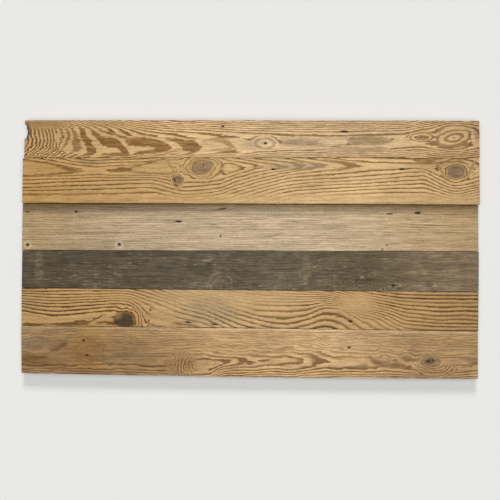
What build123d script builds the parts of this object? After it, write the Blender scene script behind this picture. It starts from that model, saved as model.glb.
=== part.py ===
from build123d import *
import os
from dataclasses import dataclass

# Wall panel of six old softwood boards, screwed from behind to three battens.
# It lies on its back: +X runs along the boards, +Y is up the wall and +Z points out of the wall.
# The origin is the middle of the outline, on the plane of the batten backs, which is the wall face.
# All sizes are in millimetres.

# Panel
PANEL_LENGTH = 1203.0
TOP_EDGE_LEFT_DROP = 0.5
TOP_EDGE_RIGHT_DROP = 2.0
SEAM_GAP = 0.6
SAW_ALLOWANCE = 20.0
ARRIS_RADIUS = 1.2

# Battens
BATTEN_WIDTH = 45.0
BATTEN_THICKNESS = 12.0
BATTEN_SETBACK = 151.5
BATTEN_END_INSET = 14.0
BATTEN_CHAMFER = 1.5

# Countersunk holes for the wood screws, driven from the back through a batten into a board
SCREW_DIAMETER = 3.5
SCREW_HEAD_DIAMETER = 7.0
SCREW_HEAD_DEPTH = 0.5
SCREW_HEAD_ANGLE = 90.0
SCREW_HOLE_CLEARANCE = 0.25
SCREW_EDGE_DISTANCE = 30.0
TWO_SCREW_BOARD_WIDTH = 110.0

# Old nail holes
SMALL_NAIL = 4.0
LARGE_NAIL = 5.0

# Decayed hollow in the left end of the top board, narrower towards the back
HOLLOW_DOWN = 30.0
HOLLOW_FACE_HEIGHT = 38.0
HOLLOW_FACE_DEPTH = 7.0
HOLLOW_BACK_HEIGHT = 20.0
HOLLOW_BACK_DEPTH = 2.0

# Sides of the panel, as signs along X
LEFT = -1
RIGHT = 1


@dataclass
class NailHole:
    """Old nail hole right through a board, measured from one end line of the panel and from the
    board's upper edge."""

    side: int
    inset: float
    down: float
    diameter: float

    def along(self):
        """Place along the panel."""
        return self.side * (PANEL_LENGTH / 2 - self.inset)


@dataclass
class Board:
    """One board. Widths are across it at the left end, the middle and the right end, because old
    boards taper. Insets are from the panel's end lines to the upper and lower corners of each end."""

    label: str
    thickness: float
    left_width: float
    middle_width: float
    right_width: float
    left_upper_inset: float
    left_lower_inset: float
    right_upper_inset: float
    right_lower_inset: float
    nail_holes: tuple


# The boards in order, from the top of the panel down
TOP_BOARD = Board(
    label="board_1_top",
    thickness=29.5,
    left_width=98.5,
    middle_width=99.0,
    right_width=97.5,
    left_upper_inset=12.5,
    left_lower_inset=10.0,
    right_upper_inset=1.5,
    right_lower_inset=0.5,
    nail_holes=(
        NailHole(side=LEFT, inset=530.0, down=17.5, diameter=SMALL_NAIL),
        NailHole(side=RIGHT, inset=561.5, down=60.0, diameter=SMALL_NAIL),
    ),
)
SECOND_BOARD = Board(
    label="board_2_knotty",
    thickness=30.0,
    left_width=117.5,
    middle_width=119.5,
    right_width=121.5,
    left_upper_inset=6.5,
    left_lower_inset=5.0,
    right_upper_inset=1.5,
    right_lower_inset=0.0,
    nail_holes=(NailHole(side=RIGHT, inset=541.5, down=30.0, diameter=SMALL_NAIL),),
)
THIRD_BOARD = Board(
    label="board_3_silvered",
    thickness=14.0,
    left_width=122.5,
    middle_width=122.5,
    right_width=121.5,
    left_upper_inset=3.5,
    left_lower_inset=1.5,
    right_upper_inset=2.0,
    right_lower_inset=1.0,
    nail_holes=(
        NailHole(side=LEFT, inset=144.5, down=21.5, diameter=LARGE_NAIL),
        NailHole(side=LEFT, inset=257.5, down=107.0, diameter=LARGE_NAIL),
        NailHole(side=LEFT, inset=16.5, down=109.0, diameter=LARGE_NAIL),
        NailHole(side=RIGHT, inset=160.5, down=21.5, diameter=LARGE_NAIL),
    ),
)
FOURTH_BOARD = Board(
    label="board_4_grey",
    thickness=14.5,
    left_width=99.0,
    middle_width=103.0,
    right_width=106.0,
    left_upper_inset=2.5,
    left_lower_inset=1.0,
    right_upper_inset=0.0,
    right_lower_inset=0.5,
    nail_holes=(NailHole(side=RIGHT, inset=224.5, down=91.0, diameter=SMALL_NAIL),),
)
FIFTH_BOARD = Board(
    label="board_5_amber",
    thickness=15.5,
    left_width=98.5,
    middle_width=99.0,
    right_width=103.0,
    left_upper_inset=1.0,
    left_lower_inset=0.5,
    right_upper_inset=1.0,
    right_lower_inset=1.5,
    nail_holes=(NailHole(side=RIGHT, inset=338.0, down=80.0, diameter=SMALL_NAIL),),
)
BOTTOM_BOARD = Board(
    label="board_6_bottom",
    thickness=17.0,
    left_width=124.0,
    middle_width=128.0,
    right_width=124.5,
    left_upper_inset=0.0,
    left_lower_inset=1.0,
    right_upper_inset=3.0,
    right_lower_inset=3.0,
    nail_holes=(
        NailHole(side=LEFT, inset=162.5, down=37.0, diameter=SMALL_NAIL),
        NailHole(side=LEFT, inset=171.5, down=76.0, diameter=SMALL_NAIL),
        NailHole(side=RIGHT, inset=342.0, down=48.5, diameter=SMALL_NAIL),
    ),
)
BOARDS = (TOP_BOARD, SECOND_BOARD, THIRD_BOARD, FOURTH_BOARD, FIFTH_BOARD, BOTTOM_BOARD)
OUTER_BATTEN_X = PANEL_LENGTH / 2 - BATTEN_SETBACK
BATTENS = {"left": -OUTER_BATTEN_X, "middle": 0.0, "right": OUTER_BATTEN_X}


@dataclass
class Edge3:
    """Height of a board's long edge at the left end line, the middle and the right end line."""

    left: float
    middle: float
    right: float

    def lowered(self, left, middle, right):
        """The edge that lies these distances below this one."""
        return Edge3(self.left - left, self.middle - middle, self.right - right)

    def height(self, x):
        """Height of the edge at x, on the parabola through its three points."""
        share = 2 * x / PANEL_LENGTH
        tilt = (self.right - self.left) / 2
        bow = (self.right + self.left) / 2 - self.middle
        return self.middle + tilt * share + bow * share**2

    def curve(self):
        """The same parabola as a line of the current sketch, run on past both saw cuts."""
        reach = PANEL_LENGTH / 2 + SAW_ALLOWANCE
        start = (-reach, self.height(-reach))
        end = (reach, self.height(reach))
        pull = 2 * self.middle - (start[1] + end[1]) / 2
        return Bezier(start, (0, pull), end)


def edges_of_boards():
    """Upper and lower edge of every board, with one seam gap between neighbours. The crest of the top
    edge lies as far above the origin as the lowest corner of the panel lies below it."""
    seams = SEAM_GAP * (len(BOARDS) - 1)
    reach = max(
        TOP_EDGE_LEFT_DROP + sum(board.left_width for board in BOARDS),
        sum(board.middle_width for board in BOARDS),
        TOP_EDGE_RIGHT_DROP + sum(board.right_width for board in BOARDS),
    )
    crest = (reach + seams) / 2
    upper = Edge3(crest - TOP_EDGE_LEFT_DROP, crest, crest - TOP_EDGE_RIGHT_DROP)
    found = []
    for board in BOARDS:
        lower = upper.lowered(board.left_width, board.middle_width, board.right_width)
        found.append((upper, lower))
        upper = lower.lowered(SEAM_GAP, SEAM_GAP, SEAM_GAP)
    return found


def sawn_ends(board, upper, lower):
    """Corners of the four-sided field between the two saw cuts, a board's width past its long edges."""
    half = PANEL_LENGTH / 2
    corners = []
    for side, upper_inset, lower_inset in (
        (LEFT, board.left_upper_inset, board.left_lower_inset),
        (RIGHT, board.right_upper_inset, board.right_lower_inset),
    ):
        high = Vector(side * (half - upper_inset), upper.height(side * half))
        low = Vector(side * (half - lower_inset), lower.height(side * half))
        along_cut = high - low
        ends = [high + along_cut, low - along_cut]
        corners += ends if side == LEFT else ends[::-1]
    return corners


def screw_places(x, board, upper, lower):
    """Centres of the screws that hold one board to the batten at x: two in a wide board, and one on
    the middle line of a narrow one."""
    high = upper.height(x)
    low = lower.height(x)
    if board.middle_width < TWO_SCREW_BOARD_WIDTH:
        return [(x, (high + low) / 2)]
    return [(x, high - SCREW_EDGE_DISTANCE), (x, low + SCREW_EDGE_DISTANCE)]


def make_board(board, upper, lower):
    """A board with crisp sawn ends, eased long arrises on its face, and its old nail holes."""
    back = BATTEN_THICKNESS
    face = back + board.thickness
    with BuildPart() as piece:
        with BuildSketch(Plane.XY.offset(back)):
            with BuildLine():
                top = upper.curve()
                bottom = lower.curve()
                Line(top @ 0, bottom @ 0)
                Line(top @ 1, bottom @ 1)
            make_face()
            Polygon(*sawn_ends(board, upper, lower), align=None, mode=Mode.INTERSECT)
        extrude(amount=board.thickness)
        long_arrises = piece.faces().sort_by(Axis.Z)[-1].edges().filter_by(GeomType.BEZIER)
        fillet(long_arrises, radius=ARRIS_RADIUS)
        if board is TOP_BOARD:
            hollow_x = -PANEL_LENGTH / 2 + board.left_upper_inset
            hollow_y = upper.left - HOLLOW_DOWN
            for height, depth, tall in (
                (back, HOLLOW_BACK_DEPTH, HOLLOW_BACK_HEIGHT),
                (face, HOLLOW_FACE_DEPTH, HOLLOW_FACE_HEIGHT),
            ):
                with BuildSketch(Plane(origin=(hollow_x, hollow_y, height))):
                    Ellipse(depth, tall / 2)
            loft(mode=Mode.SUBTRACT)
        for hole in board.nail_holes:
            hole_x = hole.along()
            hole_y = upper.height(hole_x) - hole.down
            with Locations((hole_x, hole_y, face)):
                Hole(radius=hole.diameter / 2)
    piece.part.label = board.label
    return piece.part


def make_batten(name, x, all_edges):
    """A batten across the backs of all boards, with a countersunk hole for every screw."""
    top = all_edges[0][0].height(x) - BATTEN_END_INSET
    bottom = all_edges[-1][1].height(x) + BATTEN_END_INSET
    countersink = SCREW_HEAD_DIAMETER / 2 + SCREW_HEAD_DEPTH
    drilled_from_behind = [
        Location((place_x, place_y, 0), (180, 0, 0))
        for board, (upper, lower) in zip(BOARDS, all_edges)
        for place_x, place_y in screw_places(x, board, upper, lower)
    ]
    with BuildPart() as batten:
        with BuildSketch(Plane(origin=(x, (top + bottom) / 2, 0))):
            Rectangle(BATTEN_WIDTH, top - bottom)
        extrude(amount=BATTEN_THICKNESS)
        chamfer(batten.faces().sort_by(Axis.Z)[0].edges(), length=BATTEN_CHAMFER)
        with Locations(*drilled_from_behind):
            CounterSinkHole(
                radius=SCREW_DIAMETER / 2 + SCREW_HOLE_CLEARANCE,
                counter_sink_radius=countersink,
                counter_sink_angle=SCREW_HEAD_ANGLE,
            )
    batten.part.label = f"batten_{name}"
    return batten.part


def make_panel():
    """Every piece of the panel, in its place."""
    all_edges = edges_of_boards()
    pieces = []
    for board, (upper, lower) in zip(BOARDS, all_edges):
        pieces.append(make_board(board, upper, lower))
    for name, x in BATTENS.items():
        pieces.append(make_batten(name, x, all_edges))
    return pieces


os.makedirs("parts", exist_ok=True)
for part in make_panel():
    export_step(part, f"parts/{part.label}.step")
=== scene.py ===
"""Looks of the wood wall panel: six old softwood boards, each with its own grain, on three battens.

Growth rings, knots and stains are drawn in pixels of the photograph, which is 500 wide and 500 high,
and reach each board's face through the camera. Everything else is in metres, from the frame.
"""

import math
from dataclasses import dataclass

import bpy
import numpy as np
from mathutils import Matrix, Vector
from mathutils.bvhtree import BVHTree
from mathutils.geometry import delaunay_2d_cdt


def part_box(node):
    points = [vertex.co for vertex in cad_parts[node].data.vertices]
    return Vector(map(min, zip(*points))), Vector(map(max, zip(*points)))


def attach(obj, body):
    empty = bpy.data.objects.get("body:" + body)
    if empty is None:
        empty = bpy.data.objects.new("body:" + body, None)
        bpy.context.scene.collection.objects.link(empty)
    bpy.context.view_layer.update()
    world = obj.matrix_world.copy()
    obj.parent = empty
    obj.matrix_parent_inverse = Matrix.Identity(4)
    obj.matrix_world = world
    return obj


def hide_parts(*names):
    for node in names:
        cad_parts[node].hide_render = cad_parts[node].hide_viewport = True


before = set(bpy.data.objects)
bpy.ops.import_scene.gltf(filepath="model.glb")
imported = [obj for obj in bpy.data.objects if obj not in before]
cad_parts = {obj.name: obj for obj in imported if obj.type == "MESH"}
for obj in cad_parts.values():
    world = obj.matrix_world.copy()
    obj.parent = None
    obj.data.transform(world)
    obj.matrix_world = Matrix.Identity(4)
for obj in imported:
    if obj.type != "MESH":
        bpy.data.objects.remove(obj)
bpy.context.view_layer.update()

# Camera, straight above the panel
CAMERA_X = -0.0002
CAMERA_Y = -0.00075
CAMERA_HEIGHT = 3.226
LENS = 87.6
SENSOR = 36.0
IMAGE = 500
FOCAL_PIXELS = IMAGE * LENS / SENSOR

# Light: a little from all round, a broad one from straight above, and a soft key from the panel's top
ALL_ROUND = 0.08
OVERHEAD = 2.1
OVERHEAD_ANGLE = math.radians(50)
KEY = 1.44
KEY_ELEVATION = math.radians(33)
KEY_ANGLE = math.radians(15)
FLOOR_SRGB = (233, 233, 231)

# Meshes of the boards
COLUMNS = 660
ROWS = 84
EDGE_ROWS = (0.0, 0.00035, 0.0009, 0.0017, 0.0028)
WALL_STEPS = (0.12, 0.45, 1.0)
END_REACH = 0.07
FIRST_SEED, SEED_STEP = 100, 10

# Wear of the boards: edges, growth rings, cracks, and the decayed end
WORN_ARRIS = 0.0015
CHIP_DEPTH = 0.00045
RING_RELIEF = 0.00035
SLOW_WEAR = 0.00025
FINE_WEAR = 0.00008
CRACK_DEPTH = 0.003
DECAY_DEPTH = 0.0012

# Nail holes
HOLE_LIP = 0.0005
HOLE_MARGIN = 0.0011
RIM_DEPTH = 0.0011
NAIL_HOLE_REACH = 0.006

# Reading the solids: where rays start, how far from a corner they stay, and what is near an edge
STATIONS = 31
RAY_START = 0.02
CORNER = 0.003
END_INSET = 0.0004
SAME_HEIGHT = 1e-5
CLEAR_OF_END = 0.012
CLEAR_OF_EDGE = 0.004

# Screws and floor
SCREW_SINK = 0.0005
SCREW_HOLE_REACH = 0.012
SCREW_HOLE_FROM_MIDDLE = 0.006
FLOOR_SIZE = 8.0


# Photograph and panel

def photo_places(x, y, height):
    """Photo pixels of points at this height on the panel."""
    scale = FOCAL_PIXELS / (CAMERA_HEIGHT - height)
    return IMAGE / 2 + (x - CAMERA_X) * scale, IMAGE / 2 - (y - CAMERA_Y) * scale


# Noise and curves in photo pixels

def noise(x, y, cell_x, cell_y, seed):
    """Smooth noise from -1 to 1, with one random value at every corner of a lattice."""
    values = np.random.default_rng(seed).uniform(-1, 1, (257, 263))
    u, v = x / cell_x, y / cell_y
    left, low = np.floor(u).astype(int), np.floor(v).astype(int)
    fu, fv = u - left, v - low
    fu = fu * fu * fu * (fu * (fu * 6 - 15) + 10)
    fv = fv * fv * fv * (fv * (fv * 6 - 15) + 10)

    def corner(i, j):
        return values[(left + i) % 257, (low + j) % 263]

    near = corner(0, 0) * (1 - fu) + corner(1, 0) * fu
    far = corner(0, 1) * (1 - fu) + corner(1, 1) * fu
    return near * (1 - fv) + far * fv


def steps(value, low, high):
    """0 below low, 1 above high, smooth between."""
    part = np.clip((value - low) / (high - low), 0, 1)
    return part * part * (3 - 2 * part)


def slopes_of(gaps, rises):
    """Slopes at the knots of a curve that never overshoots them."""
    ratios = rises / gaps
    same_way = ratios[:-1] * ratios[1:] > 0
    before = np.where(same_way, ratios[:-1], 1.0)
    after = np.where(same_way, ratios[1:], 1.0)
    w1 = 2 * gaps[1:] + gaps[:-1]
    w2 = gaps[1:] + 2 * gaps[:-1]
    inner = np.where(same_way, (w1 + w2) / (w1 / before + w2 / after), 0.0)
    return np.concatenate([ratios[:1], inner, ratios[-1:]])


def through(at, places, values):
    """Smooth curve through the values at these places, which run along the first axis."""
    gaps, rises = np.diff(places, axis=0), np.diff(values, axis=0)
    slopes = slopes_of(gaps, rises)
    result = values[0] + (at - places[0]) * slopes[0]
    for k in range(len(gaps)):
        t = (at - places[k]) / gaps[k]
        piece = (1 + 2 * t) * (1 - t) ** 2 * values[k] + t * (1 - t) ** 2 * gaps[k] * slopes[k]
        piece = piece + t * t * (3 - 2 * t) * values[k + 1] + t * t * (t - 1) * gaps[k] * slopes[k + 1]
        result = np.where(at >= places[k], piece, result)
    beyond = values[-1] + (at - places[-1]) * slopes[-1]
    return np.where(at > places[-1], beyond, result)


def rings_between(lines, x, y):
    """Ring number at every point, from growth lines given from the top down as (x, y, ring)."""
    heights, rings = [], []
    for line in lines:
        table = np.array(line, float)
        at = np.clip(x, table[0, 0], table[-1, 0])
        heights.append(through(at, table[:, 0], table[:, 1]))
        rings.append(through(at, table[:, 0], table[:, 2]))
    for k in range(1, len(heights)):
        heights[k] = np.maximum(heights[k], heights[k - 1] + 0.3)
    return through(y[None], np.array(heights)[:, None], np.array(rings)[:, None])[0]


def ellipse(x, y, at, half):
    """Distance from a place, in half sizes of an oval round it."""
    return np.hypot((x - at[0]) / half[0], (y - at[1]) / half[1])


def patch(x, y, at, half, soft=0.4):
    """1 inside an oval, 0 outside it."""
    return 1 - steps(ellipse(x, y, at, half), 1 - soft, 1 + soft)


def along(x, *points):
    """Smooth curve through (x, value) points along a board, level beyond the first and the last."""
    table = np.array(points, float)
    return through(np.clip(x, table[0, 0], table[-1, 0]), table[:, 0], table[:, 1])


def band(x, y, points, soft=0.7):
    """1 on a bent band through (x, middle, half height) points, fading over this many pixels."""
    table = np.array(points, float)
    at = np.clip(x, table[0, 0], table[-1, 0])
    middle = through(at, table[:, 0], table[:, 1])
    half = through(at, table[:, 0], table[:, 2])
    inside = (x >= table[0, 0]) & (x <= table[-1, 0])
    edge = np.minimum(half, soft)
    return inside * steps(half, 0, soft) * (1 - steps(np.abs(y - middle), half - edge, half + edge + 0.01))


def painted(x, y, shapes, ragged=0.6, seed=0, upright=()):
    """Late wood drawn as (darkness, points of a band), each over the ones before it: how dark it is, and
    how far anything is drawn there. An upright band's points give y first."""
    x = x + 1.6 * ragged * noise(x, y, 3.0, 1.7, seed)
    y = y + ragged * noise(x, y, 3.5, 1.5, seed + 1)
    dark, cover = np.zeros_like(x), np.zeros_like(x)
    masks = [(depth, band(x, y, points)) for depth, points in shapes]
    masks += [(depth, band(y, x, points)) for depth, points in upright]
    for depth, mask in masks:
        dark = dark * (1 - mask) + depth * mask
        cover = np.maximum(cover, mask)
    return dark * (1 + 0.3 * noise(x, y, 9, 0.9, seed + 2)), cover


def slit(x, y, start, end, width):
    """1 on a straight crack that narrows towards its ends."""
    run = np.hypot(end[0] - start[0], end[1] - start[1])
    dx, dy = (end[0] - start[0]) / run, (end[1] - start[1]) / run
    forward = (x - start[0]) * dx + (y - start[1]) * dy
    across = np.abs((x - start[0]) * dy - (y - start[1]) * dx)
    taper = np.sqrt(np.clip(1 - (2 * forward / run - 1) ** 2, 0, 1))
    return taper * (1 - steps(across, width * taper * 0.3, width * taper * 0.5 + 0.35))


def slits(x, y, *cracks):
    """The deepest of several cracks, each given as start, end and width."""
    deepest = np.zeros_like(x)
    for crack in cracks:
        deepest = np.maximum(deepest, slit(x, y, *crack))
    return deepest


def late_wood(rings, share):
    """Darkness of a growth ring whose late wood takes this share of it: a slow rise and a quick fall."""
    part = rings - np.floor(rings)
    return steps(part, 1 - 1.25 * share, 1 - 0.75 * share) * (1 - steps(part, 0.92, 1.0))


def ovals(x, y, at, half, turns, seed):
    """Late wood in slightly uneven rings round a place, with this many of them in each half size."""
    far = ellipse(x, y, at, half) * (1 + 0.14 * noise(x, y, 9, 4, seed))
    return late_wood((far + 0.05 * noise(x, y, 3, 1.6, seed + 1)) * turns, 0.5)


@dataclass
class Knot:
    """A knot in photo pixels: its core's middle and half sizes, how many rings lie in each of its
    half sizes outwards, how far it bends the grain, its rim's ring number, how dark it is, and how much
    it rises to the right."""

    at: tuple
    half: tuple
    turns: float
    reach: float
    rim: float
    dark: float = 1.0
    rise: float = 0.0


def with_knots(rings, x, y, knots):
    """Rings closed round the knots, and how far each point is inside one."""
    inside = np.zeros_like(x)
    for knot in knots:
        turned = y + knot.rise * (x - knot.at[0])
        uneven = 1 + 0.11 * noise(x, y, 8, 4, 5) + 0.04 * noise(x, y, 3, 1.6, 6)
        far = ellipse(x, turned, knot.at, knot.half) * uneven
        near = 1 - steps(far, 1 + 0.35 * (knot.reach - 1), knot.reach)
        rings = rings * (1 - near) + (knot.rim + (far - 1) * knot.turns) * near
        inside = np.maximum(inside, knot.dark * (1 - steps(far, 0.85, 1.1)))
    return rings, inside


def rim(x, y, at, half, width):
    """1 on a thin oval line."""
    return 1 - steps(np.abs(ellipse(x, y, at, half) - 1), 0, width)


def wavy(x, y, seed, amount):
    """Uneven growth along the grain, in rings."""
    fine = noise(x, y, 11, 0.8, seed) + 0.7 * noise(x, y, 4.5, 0.55, seed + 1)
    return amount * (fine + 1.2 * noise(x, y, 26, 5, seed + 2))


def unlike(rings, seed, amount):
    """How strongly each ring shows, which changes slowly from ring to ring."""
    return 1 - amount * (0.5 + 0.5 * noise(rings, 0 * rings, 1.3, 1, seed))


# What the boards' material reads at every point, and its value where a board doesn't give it
USUAL_LOOKS = {
    "rings": 0.0, "figure": 0.0, "share": 0.4, "drawn": 0.0, "tone": 1.0, "warm": 0.0, "knot": 0.0,
    "grey": 0.0, "brown": 0.0, "pale": 0.0, "crack": 0.0,
}


def looks(x, **fields):
    """Every field that the boards' material reads."""
    return {name: fields.get(name, usual) + np.zeros_like(x) for name, usual in USUAL_LOOKS.items()}


# Grain of each board

def level(height, *points):
    """A growth line at one height, given as (x, ring) points."""
    return [(x, height, ring) for x, ring in points]


def clouds(x, y, seed):
    """Slow changes of lightness."""
    return 1 + 0.05 * noise(x, y, 40, 12, seed)


def grain_of_board_1(x, y):
    """Wide cathedral figure between two sets of ovals, and a decayed left end."""
    top = level(
        119.6, (22, 3.2), (40, 8.5), (60, 14.5), (80, 18.5), (100, 22), (150, 26.5), (200, 28.2),
        (250, 29.2), (300, 29.6), (400, 29.4), (431, 27), (455, 24.5), (478, 25.4),
    )
    shoulder = [
        (22, 127.5, 0.5), (40, 127.5, 5.4), (60, 127.5, 10.8), (80, 128, 14.6), (100, 129, 16.8),
        (150, 133.5, 20.2), (200, 134, 21.6), (250, 134.5, 22.6), (300, 134.5, 23), (400, 133, 23),
        (431, 130, 22.2), (455, 128, 21), (478, 129, 22),
    ]
    heel = [
        (22, 143, 0.3), (45, 145, 6), (60, 147, 10.6), (75, 150, 13.8), (95, 153, 16), (129, 154, 17.4),
        (172, 153.5, 18.6), (200, 153, 20.2), (249, 151, 21), (262, 149.5, 21.2), (307, 148, 21.4),
        (372, 147.5, 21.4), (400, 145, 21.2), (422, 143.5, 21), (440, 146, 20.6), (455, 147.5, 20.3),
        (478, 146, 21.4),
    ]
    low = level(
        157.8, (22, 3.4), (40, 8.5), (60, 13.2), (95, 17.6), (129, 18.9), (172, 20.8), (196, 22.8),
        (249, 24.6), (300, 25.9), (350, 26.2), (400, 26), (415, 26.6), (440, 25.6), (455, 25.4),
        (478, 26.2),
    )
    pin_knot, eye = (265, 143.3), (454, 137.7)
    knots = [
        Knot(pin_knot, (8, 4.5), 1.1, 2.3, 20.6, 0),
        Knot((422, 137.6), (5.2, 1.9), 0.9, 3.4, 19.6, 0),
        Knot(eye, (6.2, 2.7), 0.72, 4.3, 19.5, 0, 0.16),
    ]
    cathedral = [
        (0.06, ((55, 139, 0), (60, 139, 11), (72, 140, 13), (90, 142, 14), (110, 144, 11.5),
            (128, 145.5, 9.5), (150, 146.5, 9.5), (175, 145.5, 8), (200, 145, 6.5), (240, 144, 6),
            (256, 144, 0))),
        (0.95, ((87, 127, 0), (90, 129.3, 1.3), (94, 133.3, 2.4), (98, 136.5, 3.2), (101, 139.5, 3.8),
            (105, 141.8, 4.6), (110, 142.6, 5), (115, 143, 4.6), (119, 145.5, 4.6), (122, 148.3, 4.5),
            (125, 151, 4.2), (127, 152, 3), (128.5, 152.5, 0))),
        (0.85, ((99, 156, 0), (104, 154.8, 1), (112, 154.6, 1.6), (120, 154.8, 1.8), (127, 155, 1.5),
            (129, 155.5, 0))),
        (0.8, ((95, 126.3, 0), (101, 130.3, 1.1), (108, 132.7, 1.2), (115, 134.7, 1.1), (121, 136.8, 1.2),
            (127, 138.5, 1.5), (132, 139.5, 0))),
        (0.92, ((125, 140, 0), (127.5, 142, 4.3), (140, 142, 4.7), (148, 142.4, 4.6), (153, 144.2, 5.2),
            (158, 146, 6), (164, 146.6, 5), (168, 147.4, 2.8), (172, 148.6, 0))),
        (0.05, ((126, 148.5, 0), (129, 148.6, 2.2), (140, 148.3, 1.9), (148, 148.1, 1.5), (153, 147.8, 0.9),
            (155.5, 147.6, 0))),
        (0.9, ((131, 155.3, 0), (137, 153.2, 1.5), (145, 152.2, 2), (153, 151.4, 2.2), (160, 150.3, 2),
            (165, 149.4, 0))),
        (0.6, ((128, 156.3, 0), (140, 156, 0.6), (152, 156, 0.7), (162, 154.4, 0.8), (170, 152, 0.8),
            (178, 150, 0.8), (183, 149.5, 0))),
        (0.85, ((163, 138.6, 0), (170, 139.2, 1.6), (176, 140.2, 2.2), (181, 143, 3.6), (184, 145.5, 5.5),
            (188, 145.8, 6), (193, 146, 6), (196, 146.5, 4.6), (199, 148, 2.4), (203, 148, 0))),
        (0.6, ((199, 141.6, 0), (206, 140.4, 1), (216, 139.9, 1.8), (224, 141.5, 2.4), (230, 144.5, 3.2),
            (234, 147, 1.6), (237, 148.5, 0))),
        (0.45, ((203, 151, 0), (212, 150.4, 0.8), (222, 149.8, 1), (230, 148.6, 1.6), (234, 147.5, 0))),
        (0.42, ((280, 143.4, 0), (290, 142.8, 2.6), (300, 142.2, 3), (312, 141.4, 2.4), (322, 140.6, 1.4),
            (332, 140, 0))),
        (0, ((316, 143, 0), (324, 141.5, 2.5), (335, 140.8, 4), (345, 140.6, 4), (350, 140.5, 0))),
        (0.45, ((347, 141, 0), (352, 140.6, 3.9), (365, 140.6, 4.4), (380, 140.6, 4.2), (388, 140.6, 2.6),
            (395, 140.6, 0))),
        (0.4, ((326, 150, 0), (335, 150, 2.2), (360, 149.8, 3), (380, 149.6, 2.6), (392, 149.2, 0))),
        (0, ((392, 140, 0), (396, 140, 2.5), (403, 140, 2.2), (411, 139.5, 0))),
        (0.8, ((416.5, 137.6, 0), (419, 137.6, 1.2), (423, 137.4, 1.6), (427, 137.6, 1.1), (429, 138, 0))),
    ]
    stripes = [
        (0.75, ((127, 58.5, 0), (130, 61.5, 1.2), (135, 62.3, 1.3), (140, 61.5, 1.2), (145, 59.5, 1.1),
            (151, 58.2, 1), (153, 58, 0))),
        (0.8, ((126, 63, 0), (129, 66.5, 1.3), (133, 68.3, 1.5), (138, 67.8, 1.6), (143, 66, 1.3),
            (148, 63.3, 1), (152, 60.5, 0))),
        (0.75, ((126, 68, 0), (129, 72.5, 1.5), (133, 75, 2), (137, 76, 2.6), (141, 76.5, 3.8),
            (145, 76.5, 3.6), (148.5, 78, 4.5), (151, 75, 2), (153.5, 70, 1.5), (156, 66, 0))),
        (0.95, ((126.5, 77, 0), (129, 81.5, 2.6), (133, 83, 2.8), (137, 84, 3.6), (140, 86.5, 5),
            (143, 88, 4), (146, 89.5, 4.2), (149, 91.5, 5), (152, 92.5, 4.5), (154.5, 88, 5),
            (156.5, 80, 0))),
    ]
    uneven_left = noise(x, y, 4, 2.6, 31) * (1 - steps(x, 60, 90)) * steps(y, 140, 148)
    rings = rings_between([top, shoulder, heel, low], x, y) + wavy(x, y, 11, 0.11) + 0.35 * uneven_left
    rings, inside = with_knots(rings, x, y, knots)
    drawn, cover = painted(x, y, cathedral, 0.7, 15, stripes)
    softer = np.maximum(0.45 * patch(x, y, pin_knot, (13, 8), 0.2), 0.25 * patch(x, y, eye, (22, 14), 0.3))
    fuzz = patch(x, y, (42, 124.5), (24, 4.5), 0.6)
    strength = along(x, (22, 1.1), (90, 1.05), (180, 1.05), (260, 1), (400, 1), (450, 1.05))
    decayed = patch(x, y, (26.6, 131.5), (3.2, 7.6))
    haze = patch(x, y, (254, 144), (9, 6), 0.6)
    haze = haze + patch(x, y, (305, 142), (26, 5), 0.4) + patch(x, y, (369, 141), (24, 5), 0.4)
    eye_cracks = slits(
        x, y, ((468, 133), (472, 141), 1.2), ((472, 140), (469, 147), 1.2), ((474, 131), (477, 141), 1),
    )
    light = along(
        x, (24, 0.74), (62, 0.8), (110, 0.88), (170, 0.98), (290, 0.97), (362, 0.93), (436, 0.87),
        (478, 0.79),
    )
    return looks(
        x,
        rings=rings,
        figure=strength * (1 - cover) * (1 - 0.5 * fuzz) * (1 - softer) * unlike(rings, 17, 0.25),
        share=along(x, (22, 0.5), (60, 0.55), (110, 0.48), (250, 0.42), (410, 0.42), (440, 0.5)),
        drawn=drawn + 0.5 * fuzz,
        tone=light * clouds(x, y, 14),
        warm=along(x, (40, 1.1), (136, 0.9), (211, 0.5), (290, 0.15), (360, 0.15), (436, 0.75)),
        knot=inside + 0.7 * eye_cracks,
        grey=np.maximum(decayed, 0.25 * haze),
        pale=0.6 * patch(x, y, pin_knot, (7, 3.8)),
        crack=slits(
            x, y, ((340, 131.4), (349.5, 131.8), 1.8), ((263.4, 143.4), (267.2, 143.4), 1.8),
            ((221, 126), (224.6, 127), 1.6),
        ),
    )


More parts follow.
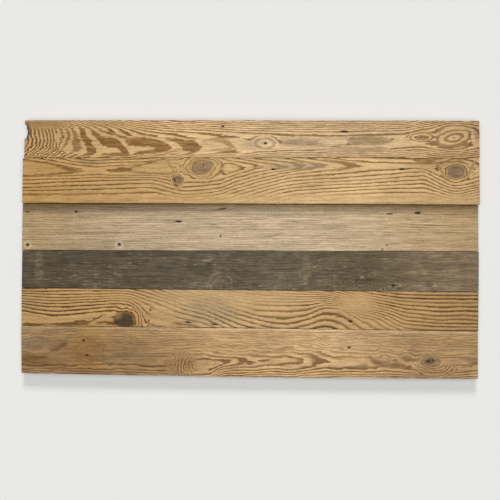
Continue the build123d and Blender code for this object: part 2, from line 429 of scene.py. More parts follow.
def grain_of_board_2(x, y):
    """Straight grain that opens round a big knot in the middle and one at the right."""
    top = level(
        157.6, (22, 0.9), (50, 2.4), (95, 4.6), (130, 4.4), (165, 3.6), (204, 2.6), (235, 4), (258, 5.2),
        (285, 6), (321, 7.5), (354, 8.6), (400, 9), (424, 9.3), (440, 9), (456, 8), (479, 8.5),
    )
    axis = [
        (22, 167, 0.2), (60, 169, 0.45), (80, 170.5, 0.88), (95, 170.8, 1.25), (111, 170.8, 0.88),
        (130, 170.7, 0.7), (150, 170.5, 0.45), (170, 170, 0.5), (183, 169.5, 0.9), (203, 167.5, 0.2),
        (229, 168, 1), (258, 167, 2.8), (285, 167, 3.8), (303, 165.7, 4.8), (321, 165.5, 5.8),
        (354, 166, 6.8), (380, 166, 7.3), (415, 166, 7.5), (430, 168, 7.2), (456, 172, 5.5),
        (479, 172, 7.2),
    ]
    middle = [
        (22, 184, 3.85), (95, 181, 3.85), (150, 180, 3.85), (185, 187, 3.85), (215, 185, 3.85),
        (240, 177, 3.85), (260, 174, 4.6), (300, 173, 6.7), (340, 174.5, 8), (380, 173.5, 8.5),
        (422, 172, 8.8), (440, 180, 8.8), (456, 186, 8.9), (479, 182, 9),
    ]
    low = [
        (22, 195.5, 7), (100, 195, 7), (150, 195, 7.3), (185, 198, 7), (215, 197, 7.5), (240, 196, 9.2),
        (300, 196, 13.4), (350, 195, 14), (400, 194, 14.2), (422, 194, 14.2), (456, 198, 13.6),
        (479, 195, 14),
    ]
    bottom = [(22, 203.3, 8), (150, 203.3, 8.4), (240, 203.6, 11), (300, 204, 15.6), (479, 204.3, 16.4)]
    big_knot, small_knot, right_knot = (202, 166.8), (177.9, 180.1), (456, 171.9)
    knots = [
        Knot(big_knot, (11.8, 7.4), 2.6, 2.3, 0.2, 0.9),
        Knot(small_knot, (4.2, 4), 1.6, 2.1, 1.3, 1.3),
        Knot(right_knot, (9.8, 6.8), 2.6, 2, 6.4, 1.25),
    ]
    tips = [
        (0.9, ((21, 159.2, 0.8), (41, 162, 0.8), (57, 165.2, 1), (66, 167.4, 1.4), (74, 169.4, 1.5),
            (80.5, 170.6, 0))),
        (0.85, ((58, 168.5, 0), (66, 169.3, 1.2), (72, 170, 1.9), (77, 170.4, 1.6), (81, 170.7, 0))),
        (0.85, ((21, 176, 0.8), (41, 174.9, 0.8), (60, 173.3, 0.8), (72, 172.2, 1), (80, 171.2, 0))),
        (0.85, ((109, 170.8, 0), (113, 170.6, 1.8), (120, 170, 2.3), (128, 169.6, 2), (133, 169.4, 0))),
        (0.8, ((124, 169, 0), (132, 167.4, 1), (145, 164, 0.8), (156, 160.8, 0.8), (165, 158.3, 0.8))),
        (0.75, ((124, 171.5, 0), (132, 172, 0.8), (145, 172.8, 0.7), (160, 173.6, 0.7), (175, 174.6, 0.7))),
        (0.4, ((254, 167, 0), (260, 167, 1.4), (266, 167, 0))),
        (0.6, ((275, 166.8, 0), (281, 166.8, 1.8), (286, 166.7, 1.6), (289, 166.6, 0))),
        (0.7, ((292, 165, 0), (297, 165.3, 1.9), (302, 165.4, 1.9), (304.5, 165.5, 0))),
        (0.7, ((282, 160.5, 0), (300, 161.6, 0.8), (312, 163.2, 1.3), (319, 164.9, 2.2), (322, 165.5, 1.6),
            (324, 165.5, 0))),
        (0.7, ((290, 170.5, 0), (304, 169, 0.8), (314, 167.2, 1.3), (320, 166.2, 1.2), (323, 165.7, 0))),
        (0.8, ((312, 159, 0), (328, 160, 0.8), (342, 162.4, 1.6), (350, 164.8, 2.8), (355.5, 165.8, 2.2),
            (358, 166, 0))),
        (0.7, ((318, 171.4, 0), (334, 170.4, 0.8), (344, 168.8, 1.3), (352, 167, 1.4), (357, 166.2, 0))),
        (0.8, ((411, 158.6, 0), (418, 159.8, 2), (425, 160.5, 2.7), (431, 161, 1.8), (434, 161.5, 0))),
    ]
    bows = [
        (0.4, ((157, 165, 0), (160, 167, 1.1), (164, 169.6, 1.4), (168, 171.6, 1.2), (172, 173.6, 1.1),
            (175.5, 176, 0))),
        (0.6, ((158, 430, 0), (162, 434.5, 1.3), (167, 438.5, 1.5), (172, 442, 1.3), (177, 446, 1.1),
            (181, 451, 0))),
        (0.5, ((158, 477, 0), (163, 474, 1.1), (168, 471.5, 1.3), (173, 469, 1.3), (178, 465, 1.1),
            (181, 460, 0))),
    ]
    rings, inside = with_knots(rings_between([top, axis, middle, low, bottom], x, y), x, y, knots)
    wavy_rings = rings + wavy(x, y, 21, 0.06)
    drawn, cover = painted(x, y, tips, 0.6, 25, bows)
    plain = np.maximum(
        band(x, y, ((20, 168, 8.4), (40, 168.5, 6), (60, 169.3, 3.6), (76, 170, 1.4), (82, 170.5, 0))),
        band(x, y, ((118, 170, 0), (132, 169.6, 2), (150, 168, 4.8), (166, 166.5, 8), (172, 166, 0))),
    )
    rims = rim(x, y, big_knot, (12.2, 7.9), 0.1) + rim(x, y, big_knot, (18.5, 11.8), 0.05)
    rims = rims + rim(x, y, right_knot, (10.3, 7.5), 0.12) + rim(x, y, small_knot, (4.3, 4), 0.3)
    strength = along(x, (22, 1.3), (200, 1.05), (260, 1), (330, 1.15), (478, 1.25)) * unlike(rings, 27, 0.3)
    strength = strength * (1 - 0.5 * patch(x, y, (168, 166), (14, 8), 0.3)) * (1 - 0.8 * steps(y, 192, 197))
    core = 0.66 + 0.16 * noise(x, y, 3, 2.2, 28) + 0.22 * late_wood(wavy_rings, 0.4)
    # Painted shade: brown on the last rows above this lower edge darkens the board's lower arris, turned away
    # from the light, over the gap to board 3.
    edge = along(x, (22, 201), (250, 202), (478, 203))
    light = along(
        x, (24, 0.745), (62, 0.785), (136, 0.84), (211, 0.9), (290, 1.01), (362, 1.065), (436, 0.91),
        (478, 0.83),
    )
    return looks(
        x,
        rings=wavy_rings,
        figure=strength * (1 - cover) * (1 - 0.9 * plain) * (1 - inside),
        share=along(x, (22, 0.3), (150, 0.32), (250, 0.36), (478, 0.33))
        - 0.1 * patch(x, y, big_knot, (30, 14), 0.3),
        drawn=drawn + 0.55 * np.clip(rims, 0, 1),
        tone=light * clouds(x, y, 24),
        warm=along(x, (40, 1.3), (136, 0.7), (211, 0.4), (290, -0.1), (362, -0.1), (436, 0.1)),
        knot=np.clip(inside * core, 0, 1),
        grey=0.35 * (patch(x, y, (296, 166), (34, 4), 0.5) + patch(x, y, (90, 162), (16, 2.6), 0.5)),
        # The brown patch at the right is a real stain; the brown along the lower edge is painted shade.
        brown=0.35 * patch(x, y, (442, 163), (26, 8), 0.6) + 0.3 * steps(y, edge, edge + 1.5),
        crack=slits(
            x, y, ((398.5, 169.2), (405, 169.4), 1.5), ((270.8, 169), (275.4, 169.6), 1.4),
            ((203, 163), (204, 168), 0.4), ((173, 177), (175.5, 183), 0.8), ((173, 184), (179, 187), 0.6),
        ),
    )


def grain_of_board_3(x, y):
    """Fine, nearly straight, silvered grain, in the shadow of the thick board above it, with more shade
    painted along its top.
    """
    upper_edge, ring_width = 202, 2.3
    drift = 0.8 * noise(x, y, 120, 14, 33) + 0.25 * noise(x, y, 40, 6, 34)
    streaks = 0.9 * noise(x, y, 42, 0.9, 36) + 0.9 * noise(x, y, 110, 1.3, 37)
    streaks = streaks + 0.45 * noise(x, y, 14, 0.7, 38)
    # Painted shade: the top rows are darkened, and warmed towards brown, under the thick board above, on top
    # of its rendered shadow.
    painted_shade = 1 - steps(y, 204.5, 213)
    painted_half_shade = 1 - steps(y, 210, 221)
    nails = (27.6, 244.8), (119.2, 244.4)
    marks = [
        ((27.4, 211.6), (2.4, 1.2)), ((76.3, 211.7), (1.8, 1.3)), ((417.7, 213), (3, 1.3)),
        ((390, 214), (2.6, 0.8)), ((220.6, 236), (1, 1.8)), ((386.8, 245.4), (1.2, 0.9)),
        ((382.6, 249.4), (0.8, 1.5)), ((179, 221.6), (2.6, 1)), (nails[0], (1.6, 1.5)),
        (nails[1], (1.6, 1.6)),
    ]
    stain = sum(patch(x, y, at, half, 0.5) for at, half in marks)
    nail_rings = sum(rim(x, y, at, (3.6, 3.4), 0.45) for at in nails)
    hairlines = slits(
        x, y, ((163, 220.4), (178, 221.2), 0.8), ((203, 223.8), (217, 224.2), 0.8),
        ((266, 238), (284, 233), 0.8), ((210, 211.2), (220, 208.6), 0.8), ((400, 224), (470, 227), 0.6),
        ((60, 232), (140, 233), 0.6),
    )
    light = along(
        x, (24, 0.76), (62, 0.78), (136, 0.88), (211, 0.98), (290, 1.02), (362, 0.98), (436, 0.9),
        (478, 0.82),
    )
    warm = along(x, (40, 0.7), (136, -0.1), (290, -0.3), (362, 0), (436, 0.6), (478, 0.9))
    light_streak = band(x, y, ((245, 212, 0), (262, 213, 1.2), (300, 211.5, 1.2), (340, 214, 0)))
    return looks(
        x,
        rings=(y - upper_edge) / ring_width + drift + wavy(x, y, 31, 0.16),
        figure=0.4 + 0.25 * noise(x, y, 30, 3, 39),
        share=0.5,
        # The tone and warm fields carry the painted shade along the top.
        tone=light * (1 + 0.11 * streaks) * (1 - 0.34 * painted_shade) * (1 - 0.15 * painted_half_shade),
        warm=warm + 0.8 * painted_shade,
        knot=np.clip(0.75 * stain + 0.5 * hairlines, 0, 0.9),
        pale=np.clip(1.1 * nail_rings + 0.35 * light_streak, 0, 1),
        crack=slits(
            x, y, ((217, 209.6), (228, 207.8), 0.9), ((175, 221.2), (182, 221.8), 1.3),
            ((414.5, 213), (421, 213), 1.5), ((386, 214), (393, 214), 0.8),
        ),
    )


def grain_of_board_4(x, y):
    """Dark weathered grain with pale scratches."""
    upper_edge, ring_width = 250, 2.6
    slanted_at = (372, 284)
    slanted = patch(x, y, slanted_at, (30, 9), 0.6)
    drift = 0.7 * noise(x, y, 70, 9, 43) + 0.3 * noise(x, y, 22, 4, 44)
    drift = drift + 0.32 * (x - slanted_at[0]) * slanted
    knots = [Knot((219, 287), (13, 12), 2.2, 1.5, 3.2, 0), Knot((429.5, 284.5), (4, 3.2), 1.5, 1.8, 4, 0.35)]
    rings, inside = with_knots((y - upper_edge) / ring_width + drift, x, y, knots)
    streaks = 0.8 * noise(x, y, 9, 0.9, 46) + 0.6 * noise(x, y, 22, 1.5, 47)
    streaks = streaks + 0.8 * noise(x, y, 3.5, 1.1, 48) + 0.9 * noise(x, y, 8, 5, 52)
    scratches = steps(noise(x, y, 5, 0.8, 49) + 0.5 * noise(x, y, 26, 7, 50), 0.6, 1)
    left_band = patch(x, y, (39, 268.5), (4.6, 14), 0.3) * (0.6 + 0.5 * noise(x, y, 3, 2, 51))
    middle_band = patch(x, y, (306, 270), (3.4, 17), 0.3) * (0.7 + 0.5 * noise(x, y, 3, 3, 56))
    bent_x, bent_y = x + 2 * noise(x, y, 5, 4, 53), y + 1.2 * noise(x, y, 6, 4, 55)
    arch = rim(bent_x, bent_y, (219.5, 287), (12, 14), 0.1)
    arch = (arch + 0.4 * rim(bent_x, bent_y, (223, 287), (17, 19), 0.05)) * (y < 289)
    pale = 0.55 * scratches + 0.85 * (left_band + 0.26 * middle_band) + 0.5 * arch
    light = along(
        x, (24, 0.6), (136, 0.64), (211, 0.78), (290, 0.88), (362, 0.8), (400, 0.92), (436, 1.02),
        (478, 1.1),
    )
    under_arch = patch(x, y, (220, 284), (7, 6.5), 0.5) * (1 + 0.8 * noise(x, y, 1.8, 12, 57))
    return looks(
        x,
        rings=rings + wavy(x, y, 41, 0.2),
        figure=0.45 + 0.3 * slanted,
        share=0.5,
        tone=light * (1 + 0.15 * streaks) * (1 + 0.12 * noise(x, y, 34, 7, 45)),
        warm=along(x, (24, 0.7), (136, 0.4), (250, 0.3), (362, 0.9), (436, 0.5)),
        knot=inside,
        brown=0.5 * under_arch + 0.45 * steps(x, 350, 470),
        pale=np.clip(pale + 0.8 * patch(x, y, (362, 277.6), (2.4, 1.1)), 0, 1),
        crack=0.8 * patch(x, y, (393.4, 285.6), (1.6, 1.2)),
    )


def grain_of_board_5(x, y):
    """Strong dark rings that arch over a knot at the left and fall away at the right."""
    top = [
        (22, 289, 0), (56, 289, 0.1), (90, 289, 0.2), (123, 289, 0), (145, 289, -1), (165, 289, -3),
        (200, 289.4, -6), (240, 290, -9), (280, 290.5, -10), (331, 291, -11.5), (350, 291, -13),
        (370, 291, -15), (400, 291.4, -16), (478, 291.8, -16.3),
    ]
    upper = [
        (22, 296, 2.9), (56, 298, 2.9), (90, 296.5, 2.7), (123, 295.2, 2.5), (145, 296.5, 1),
        (165, 296, -0.9), (200, 295, -4.2), (240, 301, -5.4), (265, 306, -5), (286, 307, -4.9),
        (306, 304.5, -5.4), (326, 300.5, -6.4), (350, 303, -8), (365, 306, -9), (385, 306.6, -10.4),
        (410, 304.5, -12.5), (440, 305.6, -12.6), (478, 305, -12.7),
    ]
    middle = [
        (22, 303, 5.6), (56, 307, 5.8), (90, 304, 5.4), (123, 301.5, 5), (145, 304, 3), (165, 303, 1.2),
        (200, 300.5, -2.5), (240, 311, -3), (265, 318, -3), (286, 319.5, -3), (306, 316, -3),
        (326, 309, -3), (340, 309.6, -3), (350, 315, -3), (365, 322, -3.3), (385, 322, -5.2),
        (410, 318, -9), (440, 320, -9.2), (460, 319, -9.3), (478, 320, -9.3),
    ]
    lower = [
        (22, 311, 8), (56, 316.4, 8), (90, 313.4, 8), (108, 311.6, 8), (123, 312, 8.1), (135, 315, 6.4),
        (145, 317, 4.4), (165, 316, 3.2), (200, 314, 1), (240, 320, -1.1), (286, 324, -2.15),
        (306, 322, -1.85), (326, 319, -1.4), (340, 319, -1.8), (350, 322, -2.1), (365, 326, -2.8),
        (385, 326, -4.5), (410, 324, -7.4), (440, 325, -7.7), (478, 325, -7.9),
    ]
    low = [
        (22, 325.8, 11), (56, 326.5, 10.4), (100, 327, 10), (123, 327.2, 9.4), (145, 327.5, 5.4),
        (165, 327.6, 4.8), (200, 328, 4), (240, 328.2, 0.6), (286, 328.5, -1.3), (326, 329, 0.2),
        (350, 329.4, -1.2), (365, 329.6, -2.3), (380, 329.8, -3.4), (395, 330, -4.7), (410, 330.3, -5.8),
        (440, 330.6, -6.1), (478, 331, -6.2),
    ]
    streak = [
        (0.9, ((21, 323.6, 0.5), (27, 324.3, 1), (33, 324.6, 1.7), (40, 324.4, 1), (46, 324.4, 0.5),
            (54, 324, 0.6), (62, 324.2, 1.6), (68, 323.6, 1.5), (73, 323.4, 1.7), (78, 322.6, 2.4),
            (84, 322.4, 2.6), (88, 322.6, 1.8), (91, 322.6, 0))),
        (0.95, ((86, 322.5, 0), (91, 320.8, 0.8), (97, 318.6, 0.8), (103, 315.8, 0.6), (107, 313.6, 0))),
        (0.9, ((94, 323.6, 0), (99, 322.6, 0.8), (106, 322.4, 1.1), (112, 323, 1.5), (116, 323, 1.5),
            (118, 323, 0))),
    ]
    knot_at = (124.5, 320.4)
    straight = rings_between([top, upper, middle, lower, low], x, y)
    bent, inside = with_knots(straight, x, y, [Knot(knot_at, (9.8, 8.2), -2.65, 2.4, 8.1)])
    rings = straight + (bent - straight) * steps(x, 114, 125)
    drawn, cover = painted(x, y, streak, 0.9, 55)
    last_line = along(x, (22, 311.4), (56, 316.8), (90, 313.8), (108, 312))
    plain_left = steps(y - last_line, 0.8, 2.4) * (1 - steps(x, 108, 116))
    plain_knot = patch(x, y, (161, 317), (15, 11), 0.4)
    plain_patch = patch(x, y, (357, 304), (19, 13), 0.5)
    faint_top = patch(x, y, (225, 298), (70, 12), 0.5)
    comb = patch(x, y, (378, 325), (34, 8), 0.4)
    tinted = patch(x, y, (212, 311), (24, 13), 0.6)
    halo = patch(x, y, knot_at, (12, 10), 0.25)
    plain = (1 - 0.9 * plain_left) * (1 - 0.72 * plain_knot) * (1 - 0.85 * plain_patch)
    plain = plain * (1 - 0.65 * faint_top) * (1 - 0.4 * comb)
    strength = along(x, (22, 1.4), (140, 1.2), (200, 1), (360, 1.15), (400, 1)) * unlike(rings, 58, 0.4)
    share = along(x, (22, 0.42), (150, 0.34), (240, 0.36), (300, 0.42), (380, 0.42), (478, 0.48))
    light = along(
        x, (24, 0.83), (62, 0.85), (136, 0.865), (211, 0.935), (290, 0.99), (362, 0.91), (436, 0.8),
        (478, 0.75),
    )
    return looks(
        x,
        rings=rings + wavy(x, y, 51, 0.06),
        figure=strength * plain * (1 - cover) * (1 - inside),
        share=share - 0.12 * faint_top,
        drawn=drawn + 0.35 * halo * (1 - inside) + 0.5 * rim(x, y, knot_at, (10.4, 8.9), 0.12),
        tone=light * clouds(x, y, 54),
        warm=along(
            x, (40, 0.7), (100, 0.7), (136, 0.45), (190, -0.25), (230, -0.2), (290, -0.05), (362, 0.3),
            (436, 0.55),
        ),
        knot=np.clip(inside * (0.92 - 0.45 * patch(x, y, (117.5, 315.5), (4.5, 3.5), 0.5)), 0, 1),
        grey=0.3 * tinted + 0.2 * patch(x, y, (32, 305), (14, 9), 0.6)
        + 0.5 * inside * patch(x, y, (118, 315.5), (5, 3.5), 0.5),
        brown=0.3 * patch(x, y, (185, 324), (12, 4), 0.6),
        crack=slits(
            x, y, ((184.5, 322), (191.5, 322.8), 1.4), ((210, 324), (219, 325), 1.3),
            ((149.6, 308.8), (151, 311.4), 1.2), ((148.4, 319.6), (149.2, 322.4), 1),
            ((147.6, 325), (148.6, 327), 1), ((348.6, 321.2), (353, 321.4), 1.4),
        ),
    )


def grain_of_board_6(x, y):
    """Quiet grain, stained at the left, with a cathedral along its lower edge."""
    top = [
        (22, 327, 21), (110, 327.5, 21.5), (209, 328, 22.5), (275, 329, 23), (345, 330, 24), (478, 331, 24),
    ]
    shoulder = [
        (22, 350, 12.5), (110, 350, 12.8), (165, 352, 12.4), (209, 356, 11.6), (224, 356.5, 11.8),
        (241, 355.5, 12.4), (257, 355.5, 12.9), (275, 355, 13), (290, 354.5, 13.1), (304, 354.5, 13.7),
        (328, 355, 14.8), (345, 354, 15.4), (380, 353, 15.8), (431, 352, 16.5), (478, 352, 16.4),
    ]
    axis = [
        (22, 360, 10.1), (110, 359, 10.1), (165, 361, 10.1), (209, 364, 10.1), (224, 361.5, 10.45),
        (234, 360.5, 10.95), (241, 360.5, 11.45), (257, 362, 11.95), (275, 361, 12.05), (290, 361, 12.45),
        (304, 361.5, 12.95), (310, 361.5, 13.45), (328, 362.5, 13.95), (345, 361, 14.3), (380, 360, 14.4),
        (415, 361, 14.2), (431, 361, 14), (447, 361, 14.2), (478, 361, 14.6),
    ]
    heel = [
        (22, 366, 11), (110, 366, 11), (165, 369, 11.4), (209, 374.5, 11.6), (224, 369.5, 13),
        (234, 368.5, 13.1), (257, 368.3, 13.05), (275, 367, 13), (290, 366.8, 13.05), (304, 366.3, 13.5),
        (328, 367, 14.6), (345, 368.5, 14.9), (380, 368.5, 15), (415, 371, 15.2), (431, 372, 15.6),
        (447, 372, 15.4), (478, 369, 15.4),
    ]
    low = [
        (22, 373.4, 14), (60, 374, 14), (110, 375, 14), (165, 376, 13.6), (209, 376.8, 12.4),
        (224, 377, 16.2), (234, 377.2, 16.6), (257, 377.6, 17.1), (275, 377.7, 17.3), (290, 378, 17.4),
        (304, 378, 17.9), (328, 378.3, 18.2), (345, 378.5, 18.6), (400, 378.8, 18.8), (431, 378.8, 18),
        (478, 378.8, 18.6),
    ]
    swirls = [
        (0.35, ((48, 351, 0), (53, 349.8, 1.8), (60, 347, 2.2), (65, 344.6, 1.6), (69, 343, 0))),
        (0.45, ((21, 357, 2), (26, 357.6, 3.4), (34, 358, 3), (42, 357.5, 1.8), (50, 357, 0))),
        (0.05, ((191, 366, 0), (196, 366.4, 3.6), (202, 366.6, 4.2), (207, 366.4, 3.4), (209.5, 366, 0))),
        (0.7, ((368, 356, 0), (372, 359.6, 3), (377, 362, 2.4), (388, 365.4, 2.8), (400, 366, 3),
            (409, 366, 0))),
    ]
    knot_at = (430.8, 361)
    curl = 0.9 * noise(x, y, 12, 5, 66) + 0.5 * noise(x, y, 5, 3, 67)
    curly = 0.22 + 0.3 * (1 - steps(y, 346, 358)) + 0.4 * patch(x, y, (405, 358), (32, 9), 0.5)
    rings = rings_between([top, shoulder, axis, heel, low], x, y) + curl * curly
    rings, inside = with_knots(rings, x, y, [Knot((430.4, 361.2), (3.9, 2.5), 1.1, 4, 12.2)])
    drawn, cover = painted(x, y, swirls, 0.7, 65)
    round_blob = patch(x, y, (183, 365), (16, 12), 0.4) * (1 - steps(x, 191, 200))
    under_knot = patch(x, y, (435, 370.5), (24, 7.5), 0.3) * steps(y, 362.5, 366)
    arcs = 0.7 * round_blob * ovals(x, y, (200, 365.5), (8.5, 6.2), 3.1, 75)
    arcs = np.maximum(arcs, 0.75 * under_knot * ovals(x, y, (433, 362), (10, 5.2), 2.2, 77))
    drawn, cover = np.maximum(drawn, arcs), np.maximum(cover, np.maximum(round_blob, under_knot))
    quiet = np.maximum(patch(x, y, (372, 360), (38, 8), 0.3), patch(x, y, (468, 358), (20, 10), 0.4))
    quiet = np.maximum(quiet, patch(x, y, (95, 357), (72, 7), 0.3))
    quiet = quiet * (1 - patch(x, y, knot_at, (16, 11), 0.3))
    rusty = patch(x, y, (88.5, 352), (17.5, 15), 0.25)
    old_edges = slits(
        x, y, ((78, 338), (77, 372), 1.2), ((103.4, 336), (103, 371), 1.2), ((90, 352), (91, 366), 0.7),
    )
    dark_left = 1 - steps(x + 6 * noise(x, y, 14, 8, 68), 100, 205)
    dark_left = dark_left * steps(y, 333, 345) * (1 + 0.6 * noise(x, y, 9, 3, 74))
    halo = patch(x, y, (430.8, 360.9), (9, 5.6), 0.5)
    smoky = patch(x, y, (172, 362), (24, 12), 0.6) * (1 + 0.5 * noise(x, y, 8, 3, 79))
    plain = (1 - 0.25 * rusty) * (1 - 0.45 * quiet) * (1 - 0.5 * patch(x, y, knot_at, (18, 10), 0.3))
    strength = (0.5 + 0.5 * steps(y, 350, 360)) * unlike(rings, 69, 0.25)
    light = along(
        x, (24, 0.69), (62, 0.66), (110, 0.685), (136, 0.72), (180, 0.815), (211, 0.93), (290, 1.08),
        (345, 1.04), (400, 0.83), (436, 0.75), (478, 0.74),
    )
    mottled = 1 + 0.08 * noise(x, y, 30, 9, 64) + 0.09 * noise(x, y, 9, 4, 63)
    warm = along(
        x, (24, 0.35), (62, 0.45), (90, 1.3), (110, 0.6), (136, 0.45), (211, 0.25), (290, 0), (362, 0),
        (436, 0.3),
    )
    core = inside * (0.8 + 0.4 * noise(x, y, 2.5, 2, 70)) + 0.5 * patch(x, y, (426.5, 361.4), (2.5, 1.2))
    # Painted highlight: a thin pale line along the upper edge, where its crest catches the light from above,
    # broken in places.
    upper_edge = np.abs(y - along(x, (22, 327.3), (250, 329.7), (478, 333)))
    painted_edge_highlight = (1 - steps(upper_edge, 0.8, 1.6)) * (noise(x, y, 30, 50, 62) > -0.5)
    return looks(
        x,
        rings=rings + wavy(x, y, 61, 0.1),
        figure=strength * plain * (1 - cover) * (1 - inside),
        share=0.46,
        drawn=drawn + 0.34 * dark_left + 0.35 * halo + 0.2 * smoky,
        tone=light * mottled * (1 - 0.11 * steps(old_edges, 0.1, 0.9)),
        warm=warm - 0.8 * patch(x, y, (35, 342), (14, 7), 0.6),
        knot=np.clip(core, 0, 1),
        grey=0.12 * patch(x, y, (35, 341), (14, 7), 0.6) + 0.32 * patch(x, y, (126, 359), (28, 6), 0.5)
        + 0.3 * halo,
        brown=0.25 * rusty + 0.6 * patch(x, y, (30, 359), (16, 6), 0.7)
        + 0.3 * patch(x, y, (56, 363), (18, 5), 0.7),
        # The pale patch is real; the pale line along the upper edge is a painted highlight.
        pale=0.3 * patch(x, y, (344, 341), (20, 9), 0.6) + 0.9 * painted_edge_highlight,
        crack=slits(
            x, y, ((347, 347), (351.5, 347.6), 1.5), ((85, 355.2), (89, 355.2), 1.2),
            ((82, 340.4), (85, 340.8), 1.3), ((432.6, 358.6), (433.4, 362.6), 0.5),
            ((426.6, 361.6), (430.2, 361), 0.6),
        ),
    )


# Node trees

class Wire:
    """One value in a node tree. Arithmetic on it adds Math nodes."""

    def __init__(self, tree, socket):
        self.tree = tree
        self.socket = socket

    def maths(self, operation, *values):
        return self.tree.node("ShaderNodeMath", {"operation": operation}, dict(enumerate(values)))

    def __add__(self, other):
        return self.maths("ADD", self, other)

    def __sub__(self, other):
        return self.maths("SUBTRACT", self, other)

    def __rsub__(self, other):
        return self.maths("SUBTRACT", other, self)

    def __mul__(self, other):
        return self.maths("MULTIPLY", self, other)

    def __truediv__(self, other):
        return self.maths("DIVIDE", self, other)

    __radd__ = __add__
    __rmul__ = __mul__

    def fraction(self):
        return self.maths("FRACT", self)

    def highest(self, other):
        return self.maths("MAXIMUM", self, other)


class Tree:
    """A node tree, which grows by its node method."""

    def __init__(self, tree):
        self.tree = tree

    def node(self, kind, settings=None, inputs=None, output=0):
        """A node of this kind, with its settings and its inputs' values or wires, as one output."""
        made = self.tree.nodes.new(kind)
        for key, value in (settings or {}).items():
            setattr(made, key, value)
        for key, value in (inputs or {}).items():
            self.feed(made.inputs[key], value)
        return Wire(self, made.outputs[output])

    def feed(self, socket, value):
        """Gives a socket its value, its wire or its list of wires."""
        if isinstance(value, list):
            for wire in value:
                self.feed(socket, wire)
        elif isinstance(value, Wire):
            self.tree.links.new(value.socket, socket)
        elif socket.type == "VECTOR":
            socket.default_value = value[:3]
        else:
            socket.default_value = value


class Paint(Tree):
    """A material and the nodes that make it."""

    def __init__(self, name):
        self.material = bpy.data.materials.new(name)
        self.material.use_nodes = True
        super().__init__(self.material.node_tree)
        self.shader = self.tree.nodes["Principled BSDF"]

    def attribute(self, name):
        return self.node("ShaderNodeAttribute", {"attribute_name": name}, output="Fac")

    def vector_maths(self, operation, *values, output=0):
        return self.node("ShaderNodeVectorMath", {"operation": operation}, dict(enumerate(values)), output)

    def place(self):
        return self.node("ShaderNodeTexCoord", output="Object")

    def stretched(self, scale, offset=(0.0, 0.0, 0.0)):
        """Object coordinates, multiplied along each axis and moved."""
        return self.vector_maths("ADD", self.vector_maths("MULTIPLY", self.place(), scale), offset)

    def noise(self, scale, detail=2.0, roughness=0.5, offset=(0.0, 0.0, 0.0)):
        """Noise from 0 to 1, with this many cells to the metre along each axis."""
        return self.node(
            "ShaderNodeTexNoise",
            {"noise_dimensions": "3D"},
            {"Vector": self.stretched(scale, offset), "Scale": 1.0, "Detail": detail, "Roughness": roughness},
        )

    def ramp(self, value, low, high):
        """0 below low, 1 above high, smooth between."""
        return self.node(
            "ShaderNodeMapRange",
            {"interpolation_type": "SMOOTHSTEP"},
            {"Value": value, "From Min": low, "From Max": high},
        )

    def blend(self, share, first, second):
        """The first colour where share is 0, and the second where it is 1."""
        return self.node("ShaderNodeMix", {"data_type": "RGBA"}, {0: share, 6: first, 7: second}, output=2)

    def scaled(self, colour, factor):
        """A colour made lighter or darker."""
        return self.node("ShaderNodeVectorMath", {"operation": "SCALE"}, {0: colour, "Scale": factor})

    def tinted(self, colour, share, change):
        """A colour whose red, green and blue are changed by these parts of themselves, times the share."""
        factor = self.vector_maths("MULTIPLY_ADD", share, change, (1.0, 1.0, 1.0))
        return self.vector_maths("MULTIPLY", colour, factor)

    def bump(self, height, distance):
        return self.node(
            "ShaderNodeBump", inputs={"Height": height, "Distance": distance, "Strength": 1.0}
        )

    def finish(self, colour, roughness, normal, specular):
        """Links the finished colour, roughness and bump to the shader."""
        self.feed(self.shader.inputs["Base Color"], colour)
        self.feed(self.shader.inputs["Roughness"], roughness)
        self.feed(self.shader.inputs["Normal"], normal)
        self.shader.inputs["Specular IOR Level"].default_value = specular
        return self.material


def srgb(red, green, blue):
    """A screen colour from 0 to 255 as the linear colour that Blender works in."""
    def linear(value):
        part = value / 255
        return part / 12.92 if part <= 0.04045 else ((part + 0.055) / 1.055) ** 2.4
    return (linear(red), linear(green), linear(blue), 1.0)


# Materials

@dataclass
class Finish:
    """Colours of one board: between the rings, the late wood, its grey, brown and pale stains, its knots,
    and its sawn sides; and how strongly the fibres show. Brown also serves painted shade under board 2's
    lower edge, and pale a painted highlight along board 6's upper edge."""

    early: tuple
    late: tuple
    grey: tuple
    brown: tuple
    pale: tuple
    knot: tuple
    side: tuple
    fibre: float


